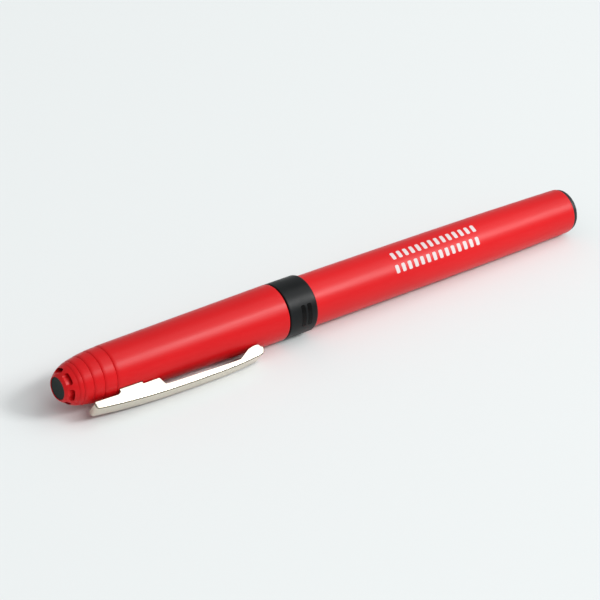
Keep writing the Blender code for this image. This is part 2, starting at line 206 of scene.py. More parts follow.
class Look:
    """A Principled material and short ways to add its nodes."""

    def __init__(self, name, colour, roughness, metallic=0.0, **more):
        self.material = bpy.data.materials.new(name)
        self.material.use_nodes = True
        self.tree = self.material.node_tree
        self.shader = self.tree.nodes["Principled BSDF"]
        self.material.diffuse_color = (*colour, 1)
        self.set("Base Color", (*colour, 1))
        self.set("Roughness", roughness)
        self.set("Metallic", metallic)
        for socket, value in more.items():
            self.set(socket.replace("_", " "), value)
        self.position = self.tree.nodes.new("ShaderNodeTexCoord").outputs["Object"]

    def set(self, socket, value):
        self.shader.inputs[socket].default_value = value

    def link(self, output, target):
        self.tree.links.new(output, target)

    def noise(self, scale, detail=3.0, stretch=(1, 1, 1), rough=0.55):
        mapping = self.tree.nodes.new("ShaderNodeMapping")
        mapping.inputs["Scale"].default_value = stretch
        noise = self.tree.nodes.new("ShaderNodeTexNoise")
        noise.inputs["Scale"].default_value = scale
        noise.inputs["Detail"].default_value = detail
        noise.inputs["Roughness"].default_value = rough
        self.link(self.position, mapping.inputs["Vector"])
        self.link(mapping.outputs["Vector"], noise.inputs["Vector"])
        return noise.outputs["Fac"]

    def spread(self, value, low, high, start=0.3, end=0.7):
        """Maps a noise value onto a range."""
        return map_range(self.tree, value, (start, end, low, high))

    def tint(self, value, first, second, start=0.35, end=0.65):
        """Runs from one colour to another over a noise value."""
        ramp = self.tree.nodes.new("ShaderNodeValToRGB")
        ramp.color_ramp.elements[0].position = start
        ramp.color_ramp.elements[0].color = (*first, 1)
        ramp.color_ramp.elements[1].position = end
        ramp.color_ramp.elements[1].color = (*second, 1)
        self.link(value, ramp.inputs["Fac"])
        return ramp.outputs["Color"]

    def bump(self, heights):
        """Stacks (height, strength, distance in millimetres) bumps on the shader's normal."""
        normal = None
        for height, strength, distance in heights:
            node = self.tree.nodes.new("ShaderNodeBump")
            node.inputs["Strength"].default_value = strength
            node.inputs["Distance"].default_value = distance * MM
            self.link(height, node.inputs["Height"])
            if normal:
                self.link(normal, node.inputs["Normal"])
            normal = node.outputs["Normal"]
        self.link(normal, self.shader.inputs["Normal"])

    def colour(self, output):
        self.link(output, self.shader.inputs["Base Color"])

    def gloss(self, output):
        self.link(output, self.shader.inputs["Roughness"])


def shade(colour, factor):
    return tuple(c * factor for c in colour)


def moulded(name, colour, roughness, grain=1.0, **more):
    """Moulded plastic: a faint flow of the colour, a satin grain, and scuffs along the axis."""
    look = Look(name, colour, roughness, **more)
    flow = look.noise(70, 2, stretch=(0.4, 1, 1))
    scuffs = look.noise(900, 4, stretch=(0.05, 1, 1), rough=0.7)
    fine = look.noise(6500, 2)
    look.colour(look.tint(flow, shade(colour, 0.93), shade(colour, 1.05)))
    look.gloss(look.spread(scuffs, roughness - 0.04, roughness + 0.06))
    look.bump([(fine, 0.10 * grain, 0.006), (scuffs, 0.05, 0.006), (flow, 0.12, 0.02)])
    return look.material


def rubber(name, colour, roughness, **more):
    """Soft-touch rubber: a fine matt grain with slightly polished patches."""
    look = Look(name, colour, roughness, **more)
    patches = look.noise(160, 3)
    grain = look.noise(5200, 3)
    look.colour(look.tint(patches, shade(colour, 0.85), shade(colour, 1.2)))
    look.gloss(look.spread(patches, roughness - 0.06, roughness + 0.08))
    look.bump([(grain, 0.22, 0.012), (patches, 0.1, 0.03)])
    return look.material


def plated(name, colour, roughness, streaks=0.05, metallic=1.0):
    """Plated metal: bright, with faint polishing streaks along the axis and a warm unevenness."""
    look = Look(name, colour, roughness, metallic)
    lines = look.noise(2600, 3, stretch=(0.03, 1, 1), rough=0.65)
    waves = look.noise(120, 2)
    look.colour(look.tint(waves, shade(colour, 0.95), shade(colour, 1.04)))
    look.gloss(look.spread(lines, roughness - streaks, roughness + streaks))
    look.bump([(lines, 0.05, 0.004), (waves, 0.1, 0.03)])
    return look.material


def fibrous(name, colour, dark, roughness, scale=3000):
    """Bundled fibres that run along the axis."""
    look = Look(name, colour, roughness)
    strands = look.noise(scale, 5, stretch=(0.02, 1, 1), rough=0.75)
    blots = look.noise(220, 3)
    mixed = look.tree.nodes.new("ShaderNodeMix")
    mixed.data_type = "RGBA"
    mixed.blend_type = "MULTIPLY"
    share, first, second, result = 0, 6, 7, 2  # the Mix node's sockets for colours
    mixed.inputs[share].default_value = 0.6
    look.link(look.tint(strands, dark, colour), mixed.inputs[first])
    look.link(look.tint(blots, (0.7, 0.72, 0.78), (1, 1, 1)), mixed.inputs[second])
    look.colour(mixed.outputs[result])
    look.gloss(look.spread(strands, roughness - 0.1, min(roughness + 0.08, 1.0)))
    look.bump([(strands, 0.6, 0.03)])
    return look.material


RED = (0.58, 0.0045, 0.0072)

LOOKS = {
    "cap": moulded("red_cap_plastic", RED, 0.35, Specular_IOR_Level=0.22),
    "barrel": moulded("red_barrel_plastic", shade(RED, 1.09), 0.36, Specular_IOR_Level=0.25),
    "disc": moulded("crown_disc_plastic", (0.006, 0.015, 0.013), 0.45, Specular_IOR_Level=0.12),
    "end": moulded("end_plug_plastic", (0.012, 0.016, 0.017), 0.4, Specular_IOR_Level=0.3),
    "black": moulded("black_section_plastic", (0.016, 0.017, 0.018), 0.28),
    "holder": moulded("black_holder_plastic", (0.02, 0.021, 0.023), 0.32),
    "liner": moulded(
        "liner_plastic", (0.74, 0.75, 0.72), 0.42, Subsurface_Weight=0.1, Subsurface_Scale=0.001
    ),
    "seal": rubber("seal_rubber", (0.2, 0.21, 0.22), 0.65),
    "grip": rubber("grip_rubber", (0.0055, 0.0065, 0.007), 0.38, Specular_IOR_Level=0.17),
    "clip": plated("clip_plating", (0.74, 0.675, 0.575), 0.2),
    # Dark plating along the clip's bent corners: a painted dark reflection
    "bend_painted_reflection": plated("painted_dark_reflection_plating", (0.27, 0.245, 0.2), 0.36),
    # A paler, less metallic copy of the clip's plating for its inside: painted light
    "inside_painted_light": plated("painted_light_inside_plating", (0.86, 0.82, 0.77), 0.6, 0.05, 0.45),
    "point": plated("point_plating", (0.74, 0.71, 0.63), 0.18, 0.03),
    "ball": plated("ball_carbide", (0.46, 0.46, 0.48), 0.12, 0.02),
    "mark": moulded("collar_mark_gloss", (0.003, 0.003, 0.003), 0.24, 0.4, Specular_IOR_Level=0.1),
    "ink": moulded("print_ink", (0.68, 0.6, 0.6), 0.55, 0.5, Specular_IOR_Level=0.3),
    "wick": fibrous("wick_fibres", (0.3, 0.31, 0.36), (0.05, 0.05, 0.08), 0.9),
    "reservoir": fibrous("ink_fibres", (0.09, 0.1, 0.14), (0.01, 0.01, 0.02), 0.88, 2200),
    "film": moulded(
        "reservoir_film",
        (0.86, 0.88, 0.9),
        0.14,
        0.3,
        Transmission_Weight=0.7,
        IOR=1.46,
        Coat_Weight=0.4,
    ),
}


# ---------------------------------------------------------------- cap

# Station of each groove, and the cap's radius before and behind it
GROOVES = ((3.5, 4.62, 4.72), (5.6, 5.03, 5.12), (8.0, 5.38, 5.43), (10.9, 5.56, 5.62))
GROOVE_HALF_WIDTH = 0.15
GROOVE_FLOOR_HALF_WIDTH = 0.03
GROOVE_DEPTH = 0.16
DOME_RIM, DOME_RISE, DOME_STEPS = 0.14, 0.25, 24
SHOULDER_STEPS = 8
SHOULDER_LENGTH, SHOULDER_FALL = 0.75, 0.24
FINE_GROOVE, FINE_LENGTH, FINE_FALL = 2.5, 0.42, 0.15
VENTS = 6
VENT_RADII = (3.08, 3.87)
VENT_STEPS = 8
VENT_HALF_COLUMNS = 8
SLOT_STATIONS = (11.35, 17.05)
SLOT_SIDES = (1.2, 2.38)
SLOT_HEIGHTS = (3.0, 7.0)
FLARE_STATIONS = (17.3, 24.0, 32.0, 40.0, 48.0)
DISC_SEAT = 0.95
STEM_RADIUS = 1.59


def cap_radius(station):
    """The cap's outside radius behind its last groove, where it flares evenly to the lip."""
    waist, _, waist_radius = GROOVES[-1]
    return waist_radius + (LIP_RADIUS - waist_radius) * (station - waist) / (CAP_LIP - waist)


def ring_shoulder(start, length, fall, radius_at):
    """Corners of a ring's full round front shoulder, which rises to the ring's own outline."""
    corners = []
    for step in range(SHOULDER_STEPS + 1):
        turn = math.pi / 2 * step / SHOULDER_STEPS
        x = start + length * (1 - math.cos(turn))
        corners.append((x, radius_at(x) - fall * (1 - math.sin(turn)), 0.0))
    return corners


def crown_corners():
    """The rim, a domed face with one fine groove, and the rings, each with a tight edge behind."""
    first, first_radius, _ = GROOVES[0]
    rim = DISC_RADIUS + GAP
    dome_start = (CROWN_FRONT, rim + DOME_RIM)
    dome = bow(dome_start, (first - GROOVE_HALF_WIDTH, first_radius), DOME_RISE, DOME_STEPS)
    dome_stations, dome_radii = zip(*dome)

    def dome_radius(station):
        return float(np.interp(station, dome_stations, dome_radii))

    corners = [(CROWN_FRONT, rim, 0.03), (*dome[0], 0.08)]
    edge = FINE_GROOVE - 0.06
    spare = 0.02  # keeps the dome's own points off the groove's
    corners += [(x, r, 0.0) for x, r in dome[1:] if x < edge - spare]
    corners.append((edge, dome_radius(edge), 0.04))
    corners += ring_shoulder(FINE_GROOVE, FINE_LENGTH, FINE_FALL, dome_radius)
    corners += [(x, r, 0.0) for x, r in dome if x > FINE_GROOVE + FINE_LENGTH + spare]
    waists = [groove[0] for groove in GROOVES[1:]] + [CAP_LIP]
    ends = [groove[1] for groove in GROOVES[1:]] + [LIP_RADIUS]
    for (station, before, after), waist, end in zip(GROOVES, waists, ends):
        corners.append((station - GROOVE_HALF_WIDTH, before, 0.09))
        corners.append((station - GROOVE_FLOOR_HALF_WIDTH, before - GROOVE_DEPTH, 0.04))
        slope = (end - after) / (waist - station)
        start = station + GROOVE_FLOOR_HALF_WIDTH
        corners += ring_shoulder(
            start,
            SHOULDER_LENGTH,
            SHOULDER_FALL,
            lambda x, start=start, radius=after, rise=slope: radius + rise * (x - start),
        )
    return corners


def cap_outline():
    """The cap's section: its outside to the lip, then the stepped bore and the disc's seat."""
    stem_hole = STEM_RADIUS + GAP
    corners = crown_corners()
    corners += [(x, cap_radius(x), 0.0) for x in FLARE_STATIONS]
    corners += [
        (CAP_LIP, LIP_RADIUS, 0.22),
        (CAP_LIP, LIP_RADIUS - 0.87, 0.18),
        (27.6, 5.02, 0.3),
        (26.6, 4.45, 0.2),
        (17.3, 4.34, 0.0),
        (11.3, 4.27, 0.0),
        (CROWN_WALL + 1, 4.15, 0.0),
        (CROWN_WALL, 3.5, 0.0),
        (CROWN_WALL, stem_hole, 0.0),
        (DISC_SEAT, stem_hole, 0.0),
        (DISC_SEAT, DISC_RADIUS + GAP, 0.0),
    ]
    return rounded(corners)


def vent_levels():
    """(share, radius) levels across a vent, from -1 to 1, closer together near its edges."""
    inner, outer = VENT_RADII
    middle, half = (inner + outer) / 2, (outer - inner) / 2
    shares = [-math.cos(math.pi * k / VENT_STEPS) for k in range(VENT_STEPS + 1)]
    return [(share, middle + half * share) for share in shares]


def with_levels(outline):
    """Cuts the crown's outline at each vent radius.

    Returns the new outline and its new rows by share, those on the outside and on the inside.
    """
    levels = vent_levels()
    deepest = CROWN_WALL + 1 + TINY
    margin = 0.02
    result, outer_rows, inner_rows = [], {}, {}
    for i, (x, r) in enumerate(outline):
        nx, nr = outline[(i + 1) % len(outline)]
        in_crown = max(x, nx) <= deepest
        if not (in_crown and VENT_RADII[0] - margin < r < VENT_RADII[1] + margin):
            result.append((x, r))
        if not in_crown or abs(nr - r) < 1e-9:
            continue
        rows = outer_rows if nr > r else inner_rows
        crossing = [level for level in levels if min(r, nr) < level[1] <= max(r, nr)]
        for share, radius in crossing if nr > r else crossing[::-1]:
            rows[round(share, 6)] = len(result)
            result.append((x + (nx - x) * (radius - r) / (nr - r), radius))
    return result, outer_rows, inner_rows


def make_cap_shell():
    """The shell as a grid of rows and columns, with the vents left out of the grid and walled."""
    outline, outer_rows, inner_rows = with_levels(cap_outline())
    inner, outer = VENT_RADII
    middle, half = (inner + outer) / 2, (outer - inner) / 2
    bulge = half / middle
    share_of_row = {row: share for rows in (outer_rows, inner_rows) for share, row in rows.items()}
    column = TURN / SIDES
    away = math.pi + CLIP_ROLL
    per_vent = SIDES // VENTS
    fade = (per_vent - 2 * VENT_HALF_COLUMNS) // 2 - 1

    def offset_of(k):
        """Columns from column k to the middle of its nearest vent."""
        return (k + per_vent // 2) % per_vent - per_vent // 2

    def angle_of(row, k):
        """The column's angle, pushed out beside a vent so that the vent's ends are round."""
        offset = offset_of(k)
        angle = away + (k + per_vent // 2) * column
        outside = abs(offset) - VENT_HALF_COLUMNS
        if row not in share_of_row or outside < 0 or outside > fade:
            return angle
        push = bulge * math.sqrt(max(0.0, 1 - share_of_row[row] ** 2)) * (1 - outside / (fade + 1))
        return angle + math.copysign(push, offset)

    verts = []
    for row, (x, r) in enumerate(outline):
        for k in range(SIDES):
            angle = angle_of(row, k)
            verts.append((x, r * math.cos(angle), r * math.sin(angle)))

    def in_vent(k):
        return -VENT_HALF_COLUMNS <= offset_of(k) < VENT_HALF_COLUMNS

    vent_rows = set()
    for rows in (outer_rows, inner_rows):
        ordered = sorted(rows.values())
        vent_rows |= set(ordered[:-1])
    faces = []
    count = len(outline)
    for row in range(count):
        after = (row + 1) % count
        for k in range(SIDES):
            if row in vent_rows and in_vent(k):
                continue
            n = (k + 1) % SIDES
            faces.append((row * SIDES + k, row * SIDES + n, after * SIDES + n, after * SIDES + k))

    shares = sorted(outer_rows)
    for vent in range(VENTS):
        first = vent * per_vent - VENT_HALF_COLUMNS
        last = vent * per_vent + VENT_HALF_COLUMNS
        path = [(shares[0], k) for k in range(first, last)]
        path += [(share, last) for share in shares[:-1]]
        path += [(shares[-1], k) for k in range(last, first, -1)]
        path += [(share, first) for share in shares[:0:-1]]
        outside = [outer_rows[share] * SIDES + k % SIDES for share, k in path]
        inside = [inner_rows[share] * SIDES + k % SIDES for share, k in path]
        for i in range(len(path)):
            j = (i + 1) % len(path)
            faces.append((outside[i], outside[j], inside[j], inside[i]))
    return mesh_piece("cap_shell_moulding", verts, faces)


def clip_matrix():
    """Turns the clip's own axes (along, across and away from the pen) to where they point."""
    away = (0.0, -math.cos(CLIP_ROLL), -math.sin(CLIP_ROLL))
    across = (0.0, -math.sin(CLIP_ROLL), math.cos(CLIP_ROLL))
    return Matrix(((1, across[0], away[0]), (0, across[1], away[1]), (0, across[2], away[2])))


def cut_clip_slots(shell):
    """Cuts the two slots through which the clip's lugs enter the cap."""
    for side in (-1, 1):
        bounds = sorted(side * bound for bound in SLOT_SIDES)
        corners = [(x, w, h) for x in SLOT_STATIONS for w in bounds for h in SLOT_HEIGHTS]
        verts = [clip_matrix() @ Vector(corner) for corner in corners]
        faces = [(0, 1, 3, 2), (4, 6, 7, 5), (0, 4, 5, 1), (2, 3, 7, 6), (0, 2, 6, 4), (1, 5, 7, 3)]
        cutter = mesh_piece("slot_cutter", verts, faces)
        change = shell.modifiers.new("slot", "BOOLEAN")
        change.operation = "DIFFERENCE"
        change.solver = "EXACT"
        change.object = cutter
        bpy.context.view_layer.update()
        graph = bpy.context.evaluated_depsgraph_get()
        result = bpy.data.meshes.new_from_object(shell.evaluated_get(graph))
        shell.modifiers.clear()
        old = shell.data
        shell.data = result
        bpy.data.meshes.remove(old)
        bpy.data.objects.remove(cutter)
    shell.data.name = shell.name
    shell.data.shade_smooth()
    shell.data.set_sharp_from_angle(angle=math.radians(SHARP_ANGLE))


def make_crown_disc():
    """The dark disc, very slightly dished, with its stem."""
    back = DISC_SEAT - GAP
    dished = DISC_FACE + 0.02
    corners = [
        (dished, 0.0, 0), (dished, DISC_RADIUS * 0.6, 0), (DISC_FACE, DISC_RADIUS, 0.1),
        (back, DISC_RADIUS, 0.05), (back, STEM_RADIUS, 0.05),
        (DISC_STEM_END, STEM_RADIUS, 0.2), (DISC_STEM_END, 0.0, 0),
    ]
    return revolve("crown_disc_insert", rounded(corners, closed=False), closed=False)


def make_liner():
    """The soft cup inside the cap, with a wide rim."""
    floor = 4.9
    corners = [
        (LINER_START, 0.0, 0), (LINER_START, 2.9, 0.2), (LINER_START + 0.4, 3.2, 0.2),
        (14.0, 3.25, 0.6), (20.5, 3.75, 0.6), (21.6, 3.8, 0.1), (21.6, 4.28, 0.1),
        (LINER_END, 4.3, 0.15), (LINER_END, 3.45, 0.1), (23.4, 3.28, 0.2), (21.9, 3.28, 0.2),
        (14.5, 2.5, 0.6), (floor, 2.4, 0.2), (floor, 0.0, 0),
    ]
    outline = rounded(corners, closed=False)
    return revolve("inner_cap_liner", outline, SMALL_SIDES, closed=False)


# ---------------------------------------------------------------- clip

CLIP_WIDTHS = (3.9, 4.2)  # at the root and at the tip
CLIP_CREST, CLIP_CREST_HEIGHT = 33.0, 9.08
CLIP_FALLS, CLIP_BOW = (1.58, 0.6), 2.5  # drop to the root and to the tip, and the curve's power
CLIP_SHEET = 0.5
CLIP_CORNER, CLIP_CORNER_STEPS = 0.36, 6
CLIP_LIP = 0.07
CLIP_SPACING = 0.5
CLIP_SMOOTHINGS = 2
CLIP_INSET = 0.015  # keeps the fine clip within the CAD clip
ROOT_BEND, ROOT_BEND_RADIUS = (5.4, 6.9), 0.65
TIP_BEND, TIP_BEND_RADIUS = (45.7, 7.2), 1.3
LUG_START, LUG_END, LUG_DEPTH = 11.6, 16.8, 3.85
EDGE_HEIGHT = 5.94
# Station on the outer face, with the (station, height) of the walls' free edge that it goes with
CLIP_PAIRS = (
    (5.7, (5.9, 5.96)), (7.6, (7.8, 6.0)), (10.3, (10.7, 6.1)), (11.0, (11.5, 5.7)),
    (11.3, (LUG_START, LUG_DEPTH)), (14.1, (14.2, LUG_DEPTH)), (16.9, (LUG_END, LUG_DEPTH)),
    (17.2, (17.0, 5.66)), (20.8, (21.0, 5.68)), (21.5, (21.7, 7.3)), (22.6, (22.6, 7.42)),
    (26.5, (26.5, 7.54)), (30.3, (30.3, 7.62)), (34.0, (34.0, 7.75)), (37.5, (37.5, 7.84)),
    (40.3, (40.6, 7.86)), (41.5, (41.9, 7.15)), (43.0, (43.3, 6.4)), (44.3, (44.4, 6.15)),
)
ROOT_EDGE = tuple((station, EDGE_HEIGHT) for station in (5.2, 5.25, 5.35, 5.45))
ROOT_ARC = (180, 155, 130, 105)  # degrees round the bend that closes the root
TIP_EDGE = ((45.1, 6.08), (45.6, 6.08), (46.0, 6.16), (46.2, 6.45), (46.25, 6.86))
TIP_ARC = (80, 56, 32, 8, -15)  # degrees round the bend of the tip


def clip_half_width(station):
    """Half the clip's width, which grows evenly from the root to the tip."""
    root, tip = CLIP_WIDTHS
    share = (station - CLIP_START) / (CLIP_END - CLIP_START)
    return (root + (tip - root) * share) / 2 - CLIP_INSET


def clip_height(station):
    """Height over the pen's axis of the clip's outer face, which bows gently away from the cap."""
    to_root, to_tip = CLIP_FALLS
    if station < CLIP_CREST:
        fall, reach = to_root, CLIP_CREST - CLIP_START
    else:
        fall, reach = to_tip, TIP_BEND[0] - CLIP_CREST
    share = abs(station - CLIP_CREST) / reach
    return CLIP_CREST_HEIGHT - CLIP_INSET - fall * share**CLIP_BOW


def clip_lines():
    """Matching points of the outer face and of the walls' free edge, close and softened."""
    points = [(CLIP_START, 6.3, CLIP_START + 0.45, EDGE_HEIGHT)]

    def follow_bend(centre, radius, arc, edges):
        for angle, edge in zip(arc, edges):
            turn = math.radians(angle)
            x, height = centre[0] + radius * math.cos(turn), centre[1] + radius * math.sin(turn)
            points.append((x, height, *edge))

    follow_bend(ROOT_BEND, ROOT_BEND_RADIUS, ROOT_ARC, ROOT_EDGE)
    points += [(x, clip_height(x), *edge) for x, edge in CLIP_PAIRS]
    follow_bend(TIP_BEND, TIP_BEND_RADIUS - CLIP_INSET, TIP_ARC, TIP_EDGE)
    points = [np.array(p) for p in points]
    close = [points[0]]
    for one, other in zip(points, points[1:]):
        length = max(np.hypot(*(other - one)[:2]), np.hypot(*(other - one)[2:]))
        parts = max(1, round(length / CLIP_SPACING))
        bowed = one[0] >= CLIP_PAIRS[0][0] and other[0] <= CLIP_PAIRS[-1][0]
        for k in range(1, parts + 1):
            step = one + (other - one) * k / parts
            if bowed:
                step[1] = clip_height(step[0])
            close.append(step)
    for _ in range(CLIP_SMOOTHINGS):
        cut = [close[0]]
        for one, other in zip(close, close[1:]):
            cut += [one * 0.75 + other * 0.25, one * 0.25 + other * 0.75]
        close = cut + [close[-1]]
    return close


def clip_section(back, edge, inward):
    """Half of a section across the channel: round corner, wall, and the inside back again."""
    half = []
    for k in range(CLIP_CORNER_STEPS + 1):
        turn = math.pi / 2 * k / CLIP_CORNER_STEPS
        depth = CLIP_CORNER * (1 - math.cos(turn))
        x, h = back + inward * depth
        half.append((x, clip_half_width(x) - CLIP_CORNER * (1 - math.sin(turn)), h))
    down = edge - (back + inward * CLIP_CORNER)
    reach = down / max(np.hypot(*down), TINY)
    for x, h in (edge - reach * 2 * CLIP_LIP, edge - reach * CLIP_LIP):
        half.append((x, clip_half_width(x), h))
    half.append((edge[0], clip_half_width(edge[0]) - CLIP_LIP, edge[1]))
    half.append((edge[0], clip_half_width(edge[0]) - CLIP_SHEET + CLIP_LIP, edge[1]))
    x, h = edge - reach * CLIP_LIP
    half.append((x, clip_half_width(x) - CLIP_SHEET, h))
    x, h = back + inward * (CLIP_SHEET + CLIP_LIP)
    half.append((x, clip_half_width(x) - CLIP_SHEET, h))
    x, h = back + inward * CLIP_SHEET
    half.append((x, clip_half_width(x) - CLIP_SHEET - CLIP_LIP, h))
    return half


def make_clip():
    """A channel of sheet metal: an outer face that wraps round both ends, and two side walls.

    Its faces take the first look. The inside takes the second, a paler, less metallic copy of the
    plating that paints light there, and each bent corner the third, a dark copy that paints a dark
    reflection.
    """
    lines = clip_lines()
    last = len(lines) - 1
    turn = clip_matrix()
    verts, rings = [], []
    for i, line in enumerate(lines):
        back, edge = line[:2], line[2:]
        if i in (0, last):
            inward = edge - back
        else:
            along = lines[i + 1][:2] - lines[i - 1][:2]
            inward = np.array((along[1], -along[0]))
        inward = inward / np.hypot(*inward)
        half = clip_section(back, edge, inward)
        ring = [(x, -w, h) for x, w, h in half[::-1]] + half
        rings.append(list(range(len(verts), len(verts) + len(ring))))
        verts += [turn @ Vector(point) for point in ring]
    faces = [rings[0], rings[-1][::-1]]
    looks = [0, 0]
    around = len(rings[0])
    middle = around // 2
    # Strips round a ring, counted from the middle of the inside: its faces, with painted light, and
    # the two bent corners, with a painted dark reflection
    inside = (0, 1, 2, around - 2, around - 1)
    painted_reflection_strips = (middle - 4, middle - 3, middle - 2, middle + 2, middle + 3, middle + 4)
    for one, other in zip(rings, rings[1:]):
        for i in range(around):
            looks.append(1 if i in inside else 2 if i in painted_reflection_strips else 0)
            faces.append((one[i - 1], one[i], other[i], other[i - 1]))
    clip = mesh_piece("clip_channel", verts, faces, FLAT_SHARP_ANGLE)
    clip.data.polygons.foreach_set("material_index", looks)
    return clip


# ---------------------------------------------------------------- barrel and end plug


BARREL_TAPER = ((80.0, 5.62), (97.0, 5.56), (115.0, 5.42), (128.0, 5.22))  # station, radius
BARREL_END_RADIUS = 5.06


def make_barrel():
    """The tube, which tapers gently to its end."""
    corners = [
        (BARREL_START, BARREL_RADIUS - 0.12, 0.06),
        (BARREL_START + 0.14, BARREL_RADIUS, 0.3),
        *((station, radius, 3.0) for station, radius in BARREL_TAPER),
        (BARREL_END, BARREL_END_RADIUS, 0.3),
        (BARREL_END, 4.3, 0.05),
        (126.5, 4.36, 0.3),
        (BARREL_START, 4.62, 0.05),
    ]
    return revolve("barrel_tube", rounded(corners))


def make_end_plug():
    """The domed button, with the spigot and the cup inside the barrel."""
    button, spigot = 4.87, 4.24
    rise = PLUG_END - BARREL_END - GAP
    seat = BARREL_END + GAP
    dome = [
        (1.0, 0.0), (0.995, 0.8), (0.98, 1.6), (0.945, 2.35),
        (0.89, 3.0), (0.8, 3.7), (0.7, 4.2), (0.57, 4.6),
    ]
    corners = [(seat + share * rise, radius, 0.0 if radius < 1 else 0.4) for share, radius in dome]
    corners += [
        (seat + 0.32 * rise, button, 0.3), (seat, button, 0.05), (seat, spigot, 0.05),
        (129.0, spigot, 0.1), (128.4, spigot - 0.4, 0.1), (128.4, 3.2, 0.05), (135.2, 3.1, 0.1),
        (135.2, 0.0, 0),
    ]
    return revolve("end_plug_button", rounded(corners, closed=False), closed=False)


# ---------------------------------------------------------------- grip, section, nose and point

GRIP_RIBS, GRIP_FIRST, GRIP_PITCH = 9, 31.0, 2.1
RIB_HALF_WIDTH, RIB_DEPTH = 0.5, 0.3


def make_section():
    """The grip's stiff core: a seat for the sleeve, a collar, and the spigot for the barrel."""
    spigot, core, bore = 4.56, 3.85, 2.6
    seat = SLEEVE_START - 0.1
    wide_bore, wide_bore_start = core - 0.13, 57.0
    collar, collar_start, collar_end = 4.9, 55.7, COLLAR_END - 0.1
    corners = [
        (SECTION_START, 3.9, 0.1), (SECTION_START + 0.3, 4.15, 0.2), (seat, 4.25, 0.1),
        (seat, core, 0.05), (collar_start, core, 0.05), (collar_start, collar, 0.05),
        (collar_end, collar, 0.05), (collar_end, spigot, 0.05),
        (SECTION_END - 0.6, spigot - 0.05, 0.2), (SECTION_END, 4.2, 0.1),
        (SECTION_END, wide_bore, 0.1), (wide_bore_start, wide_bore, 0.1),
        (wide_bore_start, bore, 0.1), (SECTION_START, bore, 0.1),
    ]
    return revolve("grip_section_core", rounded(corners), FINE_SIDES)


def make_grip_sleeve():
    """The rubber sleeve: round-bottomed ribs, then the wide plain collar that the cap meets."""
    bore, seat, seat_start = 3.95, 4.96, 55.6
    corners = [
        (SLEEVE_START, bore, 0.05), (SLEEVE_START, 4.47, 0.15), (SLEEVE_START + 0.6, 4.62, 0.4),
    ]
    for rib in range(GRIP_RIBS):
        x = GRIP_FIRST + GRIP_PITCH * rib
        top = 4.66 + 0.025 * rib
        corners += [(x - RIB_HALF_WIDTH, top, 0.3), (x, top - RIB_DEPTH, 0.3)]
        corners.append((x + RIB_HALF_WIDTH, top, 0.3))
    step = CAP_LIP + 0.25
    corners += [
        (53.6, 4.95, 0.5), (54.4, 5.1, 0.2), (step, 5.2, 0.05), (step, COLLAR_RADIUS, 0.28),
        (COLLAR_END, COLLAR_RADIUS, 0.34), (COLLAR_END, seat, 0.05), (seat_start, seat, 0.05),
        (seat_start, bore, 0.05),
    ]
    return revolve("grip_sleeve_rubber", rounded(corners))


def make_nose_cone():
    """The cone in front of the grip, with a seat for the tip holder and a hole for the wick."""
    rim, feed_hole, bore = 3.2, 0.75, 1.62
    seat = HOLDER_END + 0.1
    shoulder = SECTION_START - 0.1
    corners = [
        (CONE_START, 1.75, 0.08), (CONE_START + 0.5, 1.98, 0.3), (21.6, 3.05, 0.5),
        (22.3, rim, 0.2), (shoulder, rim, 0.1), (shoulder, 2.52, 0.05), (CONE_END - 0.5, 2.5, 0.1),
        (CONE_END, 2.2, 0.1), (CONE_END, feed_hole, 0.05), (seat, feed_hole, 0.05),
        (seat, bore, 0.05), (CONE_START, bore, 0.03),
    ]
    return revolve("nose_cone_shell", rounded(corners), FINE_SIDES)


def make_tip_holder():
    """The bush that holds the metal point in the nose cone."""
    outside, seat, bore, seat_end = 1.56, 1.0, 0.62, 16.4
    corners = [
        (HOLDER_START, 1.2, 0.05), (HOLDER_START + 0.3, 1.4, 0.2), (CONE_START - 0.1, outside, 0.1),
        (HOLDER_END, outside, 0.05), (HOLDER_END, bore, 0.05), (seat_end, bore, 0.05),
        (seat_end, seat, 0.05), (HOLDER_START, seat, 0.03),
    ]
    return revolve("tip_holder_bush", rounded(corners), SMALL_SIDES)


def make_point():
    """The metal point: the lip over the ball, the slim neck, and the cone behind its shoulder."""
    socket, channel, bore, shank, widest = 0.38, 0.2, 0.6, 0.94, 1.12
    corners = [
        (POINT_START, 0.335, 0.01), (POINT_START, 0.39, 0.03), (7.35, 0.47, 0.1),
        (8.6, 0.58, 0.05), (8.75, 0.8, 0.08), (10.9, widest, 0.2), (11.5, widest, 0.05),
        (11.5, shank, 0.03), (POINT_END, shank, 0.03), (POINT_END, bore, 0.03),
        (8.9, bore, 0.05), (8.6, channel, 0.03), (7.75, channel, 0.03), (7.6, socket, 0.05),
        (7.25, socket, 0.03),
    ]
    return revolve("writing_point", rounded(corners), SMALL_SIDES)


def make_ball():
    """The ball, as half a circle turned about the axis."""
    centre, radius = (BALL_START + BALL_END) / 2, (BALL_END - BALL_START) / 2
    steps = 32
    outline = []
    for k in range(steps + 1):
        turn = math.pi * k / steps
        ring = 0.0 if k in (0, steps) else radius * math.sin(turn)
        outline.append((centre - radius * math.cos(turn), ring))
    return revolve("writing_ball", outline, BALL_SIDES, closed=False)


# ---------------------------------------------------------------- plain marks on the pen


